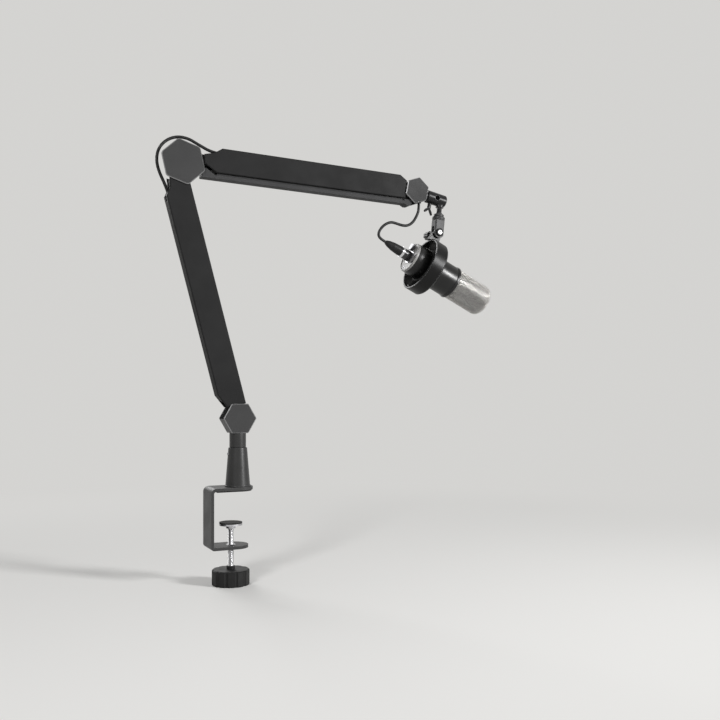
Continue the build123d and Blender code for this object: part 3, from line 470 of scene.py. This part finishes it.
def pick(piece, wanted):
    """Selects the points that pass a test, and leaves the piece in edit mode."""
    bpy.ops.object.mode_set(mode="EDIT")
    bpy.ops.mesh.select_all(action="DESELECT")
    bpy.ops.object.mode_set(mode="OBJECT")
    for vertex in piece.data.vertices:
        vertex.select = wanted(vertex)
    bpy.ops.object.mode_set(mode="EDIT")


def threaded_rod(name, radius, pitch, depth, turns):
    """A rolled thread: one V of edge, screwed upwards turn after turn, and closed at both ends."""
    clear_selection()
    bpy.ops.mesh.primitive_plane_add(size=radius)
    rod = bpy.context.object
    rod.name = name
    pick(rod, lambda vertex: vertex.index == 3)
    bpy.ops.mesh.delete(type="VERT")
    bpy.ops.object.mode_set(mode="OBJECT")
    crest, foot, top = rod.data.vertices
    foot.co = (radius - depth, 0, 0)
    crest.co = (radius, 0, pitch / 2)
    top.co = (radius - depth, 0, pitch)
    screw_up(rod, pitch, turns, THREAD_STEPS)
    bpy.ops.object.shade_smooth_by_angle(angle=math.radians(40))
    return rod


clamp_paint = powder_coat("clamp_paint", (0.036, 0.036, 0.036), 0.42, gloss=0.22)
rubber = moulded_rubber("rubber", (0.012, 0.012, 0.012))
chrome = plated_steel("chrome", (0.72, 0.72, 0.73), 0.12)
zinc = plated_steel("zinc", (0.5, 0.5, 0.52), 0.32)
dress(clamp_paint, "clamp_bracket")
tower_paint = powder_coat("tower_paint", (0.024, 0.024, 0.024), 0.34, gloss=0.34)
dress(tower_paint, "tower", "post_collar")
dress(rubber, "jaw_pad", "pad_facing")
dress(zinc, "jaw_nut", "tower_screws", "post_lock_screw", "pressure_disc")


def grained_plastic(name, colour):
    """Moulded plastic with a spark-eroded grain."""
    material = plain_finish(name, colour, 0.5, gloss=0.25)
    vary_colour(material, noise_on(material, 40), shaded(colour, 0.8), shaded(colour, 1.3))
    vary_gloss(material, noise_on(material, 90), 0.42, 0.6)
    add_bump(material, noise_on(material, 2200, 1.0).outputs["Fac"], 0.5, 0.00008)
    return material


black_plastic = grained_plastic("black_plastic", (0.009, 0.009, 0.009))
dress(black_plastic, "clamp_knob", "post_bush")

SCREW_RADIUS = 0.005
SCREW_PITCH = 0.0015
THREAD_DEPTH = 0.00075
screw_axis = joint_place("screw_turn")
rod_low, rod_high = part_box("clamp_screw_rod")
rod_turns = int((rod_high.z - rod_low.z) / SCREW_PITCH) - 1
clamp_thread = threaded_rod("clamp_thread", SCREW_RADIUS, SCREW_PITCH, THREAD_DEPTH, rod_turns)
settle(clamp_thread, Matrix.Translation((screw_axis.x, screw_axis.y, rod_low.z)))
dress(chrome, "clamp_thread")
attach(clamp_thread, "clamp_screw")
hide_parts("clamp_screw_rod")

# ---- arms and hexagon joints --------------------------------------------------------------------
# Folded steel covers over flat bars, with a hexagonal cheek on each side of every joint, edged in thin
# brushed metal, pale as a painted highlight line. A tension spring lies in each cover, between a pin at one
# end and a link at the other.

arm_paint = powder_coat("arm_paint", (0.041, 0.041, 0.0415), shine=0.9, edge=0.0005)
cover_paint = powder_coat("cover_paint", (0.012, 0.012, 0.0122), edge=0.0012)
bar_paint = powder_coat("bar_paint", (0.038, 0.038, 0.039))
dress(arm_paint, "base_caps", "elbow_caps", "front_caps")
dress(clamp_paint, "base_hex_housing", "front_hex_housing")
dress(bar_paint, "lower_bars", "upper_bars", "upper_rail")
dress(cover_paint, "lower_cover", "upper_cover")
dress(zinc, "lower_spring", "upper_spring", "base_pivot", "elbow_pivot", "front_bolt")
dress(rubber, "cable_grommet")

BASE_CHEEK = (0.0280, 0.0024)           # a cheek's radius over its corners, and that of each corner
LARGE_CHEEK = (0.0375, 0.0060)
SMALL_CHEEK = (0.0280, 0.0040)
FRONT_CHEEK = (0.0245, 0.0024)
BEVEL = 0.0012                          # of a cheek's outer edge
RIM_METAL = 0.0003                      # how thick the edging is
RIM_PROUD = 0.6                         # how much of it stands out of the bevel, from -1 to 1
CORNER_STEPS = 6
HEAD_DIP = 11.5                         # of the head, and its hexagon, below level
HALF_SIDE = math.radians(30)            # from a hexagon's corner to the middle of its side
# pale steel for the edgings: a painted highlight line round each cheek
rim_highlight_steel = plated_steel("rim_highlight_steel", (0.30, 0.30, 0.305), 0.36)


def cheek_rim(name, centre, radius, corner, first_corner, side):
    """A thin brushed edging on a cheek's bevel, pale as a painted highlight line. Side is -1 for the near
    cheek, and 1 for the far one.
    """
    clear_selection()
    bpy.ops.mesh.primitive_circle_add(vertices=6, radius=radius)
    rim = bpy.context.object
    rim.name = name
    bpy.ops.object.mode_set(mode="EDIT")
    bpy.ops.mesh.select_all(action="SELECT")
    bpy.ops.mesh.bevel(offset=corner * math.tan(HALF_SIDE), segments=CORNER_STEPS, affect="VERTICES")
    bpy.ops.mesh.extrude_edges_move(TRANSFORM_OT_translate={"value": (0, 0, BEVEL)})
    narrow = 1 - BEVEL / (radius * math.cos(HALF_SIDE))
    bpy.ops.transform.resize(value=(narrow, narrow, 1), center_override=(0, 0, BEVEL))
    bpy.ops.mesh.select_all(action="SELECT")
    bpy.ops.mesh.normals_make_consistent(inside=False)
    bpy.ops.object.mode_set(mode="OBJECT")
    metal = rim.modifiers.new("metal", "SOLIDIFY")
    metal.thickness = RIM_METAL
    metal.offset = RIM_PROUD
    finish_modifiers(rim)
    turn = -side * math.radians(first_corner) - HALF_SIDE
    settle(rim, Matrix.Translation(Vector(centre) - Vector((0, side * BEVEL, 0)))
           @ Matrix.Rotation(math.radians(-side * 90), 4, "X") @ Matrix.Rotation(turn, 4, "Z"))
    dress(rim_highlight_steel, name)
    return rim


def cheek_rims(joint, node, body, first_corner, *cheeks):
    """The edgings of a joint's near and far cheek, each given as its radius, corner and centre."""
    low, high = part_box(node)
    sides = (("near", -1, low.y), ("far", 1, high.y))
    for (word, side, face), (radius, corner, centre) in zip(sides, cheeks):
        place = (centre.x, face, centre.z)
        rim = cheek_rim(f"{joint}_rim_{word}", place, radius, corner, first_corner, side)
        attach(rim, body)


base_place, elbow_place, front_place = map(joint_place, ("lower_arm_tilt", "elbow", "head_tilt"))
elbow_low, elbow_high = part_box("elbow_caps")
lower_line = elbow_place - base_place
lower_lean = math.degrees(math.atan2(lower_line.z, lower_line.x))
cheek_rims("base", "base_caps", "swivel_post", 0,
           (*BASE_CHEEK, base_place), (*BASE_CHEEK, base_place))
cheek_rims("elbow", "elbow_caps", "lower_arm", lower_lean,
           (*LARGE_CHEEK, (elbow_low + elbow_high) / 2), (*SMALL_CHEEK, elbow_place))
cheek_rims("front", "front_caps", "head", 30 - HEAD_DIP,
           (*FRONT_CHEEK, front_place), (*FRONT_CHEEK, front_place))

SPRING_WIRE = 0.0012
WINDING_PITCH = 0.0026
WINDING_STEPS = 18                      # faces in one turn of a spring
SPRING_END = 0.016                      # from the pin at either end to the first turn
LOWER_SPRING = ((0.062, 0.0020), (0.345, 0.0084), 0.0044)       # its two pins, and its radius
UPPER_SPRING = ((0.066, 0.0070), (0.350, 0.0005), 0.0035)


def wound_wire(name, radius, wire, pitch, turns):
    """Round spring wire, wound up the Z axis from the origin."""
    clear_selection()
    bpy.ops.mesh.primitive_circle_add(vertices=8, radius=wire, location=(radius, 0, 0),
                                      rotation=(math.radians(90), 0, 0))
    coil = bpy.context.object
    coil.name = name
    bpy.ops.object.transform_apply(location=True, rotation=True, scale=True)
    screw_up(coil, pitch, turns, WINDING_STEPS)
    bpy.ops.object.shade_smooth()
    return coil


def heading(origin, direction):
    """A place whose Z axis runs along a direction in the arm's plane."""
    along = Vector(direction).normalized()
    across = Vector((0, 1, 0))
    side = across.cross(along)
    turn = Matrix((side, across, along)).transposed().to_4x4()
    return Matrix.Translation(origin) @ turn


def along_arm(arm_start, arm_end, forward, up):
    """A point by its distance along an arm and above its line."""
    line = (arm_end - arm_start).normalized()
    rise = line.cross(Vector((0, 1, 0)))
    return arm_start + forward * line + up * rise


def dressed_spring(name, body, arm_start, arm_end, first_pin, second_pin, radius):
    """Windings on the plain barrel of a spring, between its two pins."""
    start = along_arm(arm_start, arm_end, *first_pin)
    line = along_arm(arm_start, arm_end, *second_pin) - start
    turns = int((line.length - 2 * SPRING_END) / WINDING_PITCH)
    coil = wound_wire(name, radius, SPRING_WIRE, WINDING_PITCH, turns)
    settle(coil, heading(start + SPRING_END * line.normalized(), line))
    dress(zinc, name)
    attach(coil, body)


dressed_spring("lower_windings", "lower_arm", base_place, elbow_place, *LOWER_SPRING)
dressed_spring("upper_windings", "upper_arm", elbow_place, front_place, *UPPER_SPRING)

# ---- barrel and swivel adapter ------------------------------------------------------------------
# A turned barrel carries a wing screw and a threaded stud. A ring nut and a forked block hang from
# the stud. A nickel-plated bolt through the fork, in a black rubber rim, holds the mount's tongue.

barrel_paint = powder_coat("barrel_paint", (0.009, 0.009, 0.0095), 0.3, gloss=0.24, shine=0.9)
adapter_metal = powder_coat("adapter_metal", (0.045, 0.045, 0.046), 0.45, gloss=0.2, shine=0.9)
dress(barrel_paint, "head_barrel", "wing_screw", "thumb_nut")
dress(adapter_metal, "thread_insert", "clevis")
dress(black_plastic, "tilt_washers")

BOLT_RADIUS = 0.0030
HEAD_RADIUS = 0.0048
HEAD_HEIGHT = 0.0016
HEAD_STRAIGHT = 0.6                     # of its height, below the bevel
HEAD_BEVEL = 0.82                       # of its radius, at the top of the bevel
SOCKET_RIM = 0.35                       # of its radius, round the socket
SOCKET_DEPTH = 0.7                      # of its height
RIM_RADIUS = 0.0061
RIM_WIRE = 0.0012
RIM_SEAT = 0.0012                       # from the head's face to the middle of the rim
RIM_FLATNESS = 0.6


def button_bolt(name, radius, head_radius, head_height, front, back):
    """A pin with a low round head, bevelled, and a round socket pressed into it."""
    clear_selection()
    bpy.ops.mesh.primitive_cylinder_add(vertices=48, radius=radius, depth=back - front - head_height,
                                        location=(0, (back + front + head_height) / 2, 0),
                                        rotation=(math.radians(90), 0, 0))
    bolt = bpy.context.object
    bolt.name = name
    bpy.ops.object.transform_apply(location=True, rotation=True, scale=True)
    seat = front + head_height
    pick(bolt, lambda vertex: vertex.co.y < seat + 10 * MERGE)
    bpy.ops.mesh.extrude_region_move(TRANSFORM_OT_translate={"value": (0, 0, 0)})
    swell = head_radius / radius
    bpy.ops.transform.resize(value=(swell, 1, swell), center_override=(0, seat, 0))
    for share in (HEAD_STRAIGHT, 1 - HEAD_STRAIGHT):
        bpy.ops.mesh.extrude_region_move(TRANSFORM_OT_translate={"value": (0, -share * head_height, 0)})
    bpy.ops.transform.resize(value=(HEAD_BEVEL, 1, HEAD_BEVEL), center_override=(0, front, 0))
    bpy.ops.mesh.inset(thickness=SOCKET_RIM * head_radius)
    bpy.ops.mesh.extrude_region_move(TRANSFORM_OT_translate={"value": (0, SOCKET_DEPTH * head_height, 0)})
    bpy.ops.object.mode_set(mode="OBJECT")
    bpy.ops.object.shade_smooth_by_angle(angle=math.radians(35))
    return bolt


def retaining_ring(name, radius, wire):
    """A ring of round section, flat in its own XY plane."""
    clear_selection()
    bpy.ops.mesh.primitive_torus_add(major_radius=radius, minor_radius=wire, major_segments=40,
                                     minor_segments=10)
    ring = bpy.context.object
    ring.name = name
    bpy.ops.object.shade_smooth()
    return ring


tilt_place = joint_place("mic_tilt")
bolt_low, bolt_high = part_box("tilt_bolt")
tilt_bolt = button_bolt("tilt_bolt_head", BOLT_RADIUS, HEAD_RADIUS, HEAD_HEIGHT, bolt_low.y, bolt_high.y)
settle(tilt_bolt, Matrix.Translation((tilt_place.x, 0, tilt_place.z)))
bolt_nickel = plated_steel("bolt_nickel", (0.45, 0.45, 0.455), 0.52)
dress(bolt_nickel, "tilt_bolt_head")
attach(tilt_bolt, "adapter")
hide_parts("tilt_bolt")

bolt_rim = retaining_ring("bolt_rim", RIM_RADIUS, RIM_WIRE)
settle(bolt_rim, Matrix.Translation((tilt_place.x, bolt_low.y + RIM_SEAT, tilt_place.z))
       @ Matrix.Rotation(math.radians(90), 4, "X") @ Matrix.Scale(RIM_FLATNESS, 4, (0, 0, 1)))
dress(rubber, "bolt_rim")
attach(bolt_rim, "adapter")

STUD_RADIUS = 0.0048
STUD_PITCH = 0.00125
STUD_DEPTH = 0.0006                     # of its thread
STUD_TURNS = 24
STUD_BELOW = 0.0335                     # from the swivel's place down to the thread's end
stud_up = Vector(JOINTS["pan"]["axis"])
stud_thread = threaded_rod("stud_thread", STUD_RADIUS, STUD_PITCH, STUD_DEPTH, STUD_TURNS)
settle(stud_thread, heading(joint_place("pan") - STUD_BELOW * stud_up, stud_up))
dark_steel = plated_steel("dark_steel", (0.14, 0.14, 0.145), 0.3)
dress(dark_steel, "stud_thread")
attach(stud_thread, "head")
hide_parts("stud")

# ---- mount ring and isolators -------------------------------------------------------------------
# A cast ring, satin black, hangs the microphone on a rubber collar with four waisted rubber posts. A
# bright wire ring holds the foot of each post against the ring's wall.

ring_satin = powder_coat("ring_satin", (0.003, 0.003, 0.003), 0.36, gloss=0.22, shine=1.0, edge=0.0012)
dress(ring_satin, "mount_ring")
dress(rubber, "isolators")
boot_rubber = moulded_rubber("boot_rubber", (0.010, 0.010, 0.010), 0.42)
dress(boot_rubber, "plug_boot")

TAIL_TO_RING = 0.036                    # from the rear face to the middle of the ring
KNOB_RISE = 0.0188                      # of the level knob, over the microphone's axis
POST_FOOT = 0.0467                      # from the microphone's axis
POST_ANGLES = (35, 145, 215, 325)
POST_RING_RADIUS = 0.0063
POST_RING_WIRE = 0.0009
mic_along = -Vector(JOINTS["gain_turn"]["axis"]).normalized()
mic_rise = mic_along.cross(Vector((0, 1, 0)))
mic_tail = joint_place("gain_turn") - KNOB_RISE * mic_rise


def on_microphone(forward, turn=0.0):
    """A place on the microphone's axis: X runs to the nose, and Z is up, turned about the axis."""
    axes = Matrix((mic_along, (0, 1, 0), mic_rise)).transposed().to_4x4()
    about_axis = Matrix.Rotation(math.radians(turn), 4, "X")
    return Matrix.Translation(mic_tail + forward * mic_along) @ axes @ about_axis


for number, angle in enumerate(POST_ANGLES, 1):
    name = f"post_ring_{number}"
    post_ring = retaining_ring(name, POST_RING_RADIUS, POST_RING_WIRE)
    settle(post_ring, on_microphone(TAIL_TO_RING, angle) @ Matrix.Translation((0, 0, POST_FOOT)))
    dress(chrome, name)
    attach(post_ring, "microphone")

# ---- microphone body ----------------------------------------------------------------------------
# A turned aluminium tube, painted satin black, with a paler rear plate that carries the level knob and
# the sockets. The cable's plug, with a bright ring and a rubber boot, sits in the middle socket.

mic_satin = powder_coat("mic_satin", (0.002, 0.002, 0.002), 0.32, gloss=0.42, shine=0.6)
dress(mic_satin, "body_shell", "front_band")
plate_satin = powder_coat("plate_satin", (0.21, 0.206, 0.20), 0.38, gloss=0.45, shine=1.0)
dress(plate_satin, "rear_face")
board_green = plain_finish("board_green", (0.01, 0.07, 0.03), 0.4)
vary_colour(board_green, noise_on(board_green, 350, 1.0), (0.006, 0.045, 0.02), (0.02, 0.11, 0.05))
vary_gloss(board_green, noise_on(board_green, 120), 0.3, 0.5)
dress(board_green, "circuit_board", "gain_pot")
dress(zinc, "xlr_socket", "headphone_jack", "usb_socket", "rear_screws")
plug_satin = powder_coat("plug_satin", (0.008, 0.008, 0.009), 0.22, gloss=0.6)
dress(plug_satin, "plug_shell", "stowed_plug")
dress(chrome, "plug_ring")
knob_metal = plated_steel("knob_metal", (0.2, 0.2, 0.21), 0.3)
dress(knob_metal, "gain_knob")

# ---- grille and capsule -------------------------------------------------------------------------
# A cup of woven steel wire with a rounded nose, over a thin foam cup. The gold-faced capsule stands
# inside on a stem.

mesh_steel = plated_steel("mesh_steel", (0.76, 0.745, 0.72), 0.34, dull=(0.44, 0.43, 0.415),
                          bright=(0.96, 0.945, 0.915), grain=520, detail=1.0)
brass = plated_steel("brass", (0.75, 0.6, 0.3), 0.3)
dress(rubber, "grille_foam")
dress(black_plastic, "capsule_holder")
dress(brass, "capsule")

GRILLE_START, GRILLE_END = 0.0965, 0.1744              # from the rear face
GRILLE_RADIUS = 0.0282
NOSE_CORNER = 0.0116
WIRES_ROUND = 88
MESH_WIRE = 0.0008
WEAVE = 0.00022                         # how far a wire goes over or under the next
END_OVERLAP = 0.3                       # of a wire's pitch, that the flat end reaches past its ring


def nudge_alternate(piece, across, distance):
    """Moves every other crossing out and the rest in, as over-and-under weaving does."""
    for odd in (0, 1):
        pick(piece, lambda vertex: sum(divmod(vertex.index, across)) % 2 == odd)
        bpy.ops.transform.shrink_fatten(value=distance if odd else -distance)
    bpy.ops.object.mode_set(mode="OBJECT")


def woven_cup():
    """Rings of wire crossings from the band to the nose: a tube, a quarter-round and a flat end."""
    pitch = math.tau * GRILLE_RADIUS / WIRES_ROUND
    straight = GRILLE_END - NOSE_CORNER - GRILLE_START
    tube_rows = round(straight / pitch)
    nose_rows = round(NOSE_CORNER * math.pi / 2 / pitch)
    stations = [(GRILLE_START + straight * row / tube_rows, GRILLE_RADIUS)
                for row in range(tube_rows + 1)]
    for row in range(1, nose_rows + 1):
        angle = math.pi / 2 * row / nose_rows
        stations.append((GRILLE_END - NOSE_CORNER * (1 - math.sin(angle)),
                         GRILLE_RADIUS - NOSE_CORNER * (1 - math.cos(angle))))
    clear_selection()
    bpy.ops.mesh.primitive_circle_add(vertices=WIRES_ROUND, radius=GRILLE_RADIUS,
                                      location=(GRILLE_START, 0, 0), rotation=(0, math.radians(90), 0))
    cup = bpy.context.object
    cup.name = "woven_grille"
    bpy.ops.object.transform_apply(location=True, rotation=True, scale=True)
    bpy.ops.object.mode_set(mode="EDIT")
    bpy.ops.mesh.select_all(action="SELECT")
    place, radius = stations[0]
    for next_place, next_radius in stations[1:]:
        bpy.ops.mesh.extrude_region_move(TRANSFORM_OT_translate={"value": (next_place - place, 0, 0)})
        factor = next_radius / radius
        bpy.ops.transform.resize(value=(1, factor, factor), center_override=(next_place, 0, 0))
        place, radius = next_place, next_radius
    nudge_alternate(cup, WIRES_ROUND, WEAVE)
    return cup, pitch


def woven_end(pitch):
    """The flat end of the cup: a square of crossings, trimmed to a disc that reaches its last ring."""
    flat = GRILLE_RADIUS - NOSE_CORNER
    count = 2 * round(flat / pitch)
    clear_selection()
    bpy.ops.mesh.primitive_grid_add(x_subdivisions=count, y_subdivisions=count, size=2 * flat,
                                    location=(GRILLE_END, 0, 0), rotation=(0, math.radians(90), 0))
    end = bpy.context.object
    bpy.ops.object.transform_apply(location=True, rotation=True, scale=True)
    nudge_alternate(end, count + 1, WEAVE)
    reach = flat + END_OVERLAP * pitch
    pick(end, lambda vertex: math.hypot(vertex.co.y, vertex.co.z) > reach)
    bpy.ops.mesh.delete(type="VERT")
    bpy.ops.object.mode_set(mode="OBJECT")
    return end


grille_cup, wire_pitch = woven_cup()
grille_end = woven_end(wire_pitch)
work_on(grille_cup)
grille_end.select_set(True)
bpy.ops.object.join()
wires = grille_cup.modifiers.new("wires", "WIREFRAME")
wires.thickness = MESH_WIRE
wires.offset = 0
wires.use_even_offset = False
wires.use_replace = True
wires.use_boundary = True
finish_modifiers(grille_cup)
bpy.ops.object.shade_smooth()
settle(grille_cup, on_microphone(0))
dress(mesh_steel, "woven_grille")
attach(grille_cup, "microphone")
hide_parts("grille")
